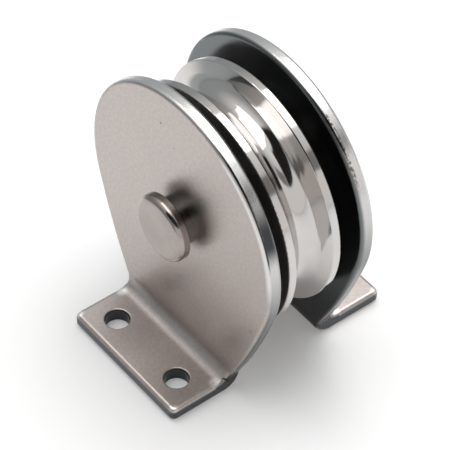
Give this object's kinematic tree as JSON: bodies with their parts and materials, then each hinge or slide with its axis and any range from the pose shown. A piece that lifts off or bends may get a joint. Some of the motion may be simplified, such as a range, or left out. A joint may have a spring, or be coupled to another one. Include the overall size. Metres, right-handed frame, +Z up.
{
  "type": "surface mount block",
  "caption": "Block for wire rope that bolts to a deck or wall: a grooved sheave turns on a riveted pin between bent cheek plates with drilled feet.",
  "frame": {"origin": "centre of the footprint on the mounting surface, under the sheave", "axes": "+Z up from the mounting surface to the top of the cheeks, Y along the axle with the button head at -Y, X across the disc of the cheeks"},
  "size_m": [0.0826, 0.0788, 0.0957],
  "materials": {
    "cheek": "satin, with rounded and lightly polished edges",
    "sheave": "turned and polished",
    "bush": "plain bronze, machined",
    "washer": "machined",
    "pin": "turned, satin"
  },
  "bodies": {
    "frame": {"side_plate_front": "cheek", "side_plate_rear": "cheek", "axle_pin": "pin", "tail_washer": "washer", "thrust_washer_front": "washer", "thrust_washer_rear": "washer"},
    "sheave": {"sheave": "sheave", "bearing_bush": "bush"}
  },
  "joints": [
    {"name": "sheave_spin", "type": "hinge", "parent": "frame", "child": "sheave", "pos_m": [0, 0, 0.0522], "axis": [0, 1, 0], "continuous": true}
  ]
}
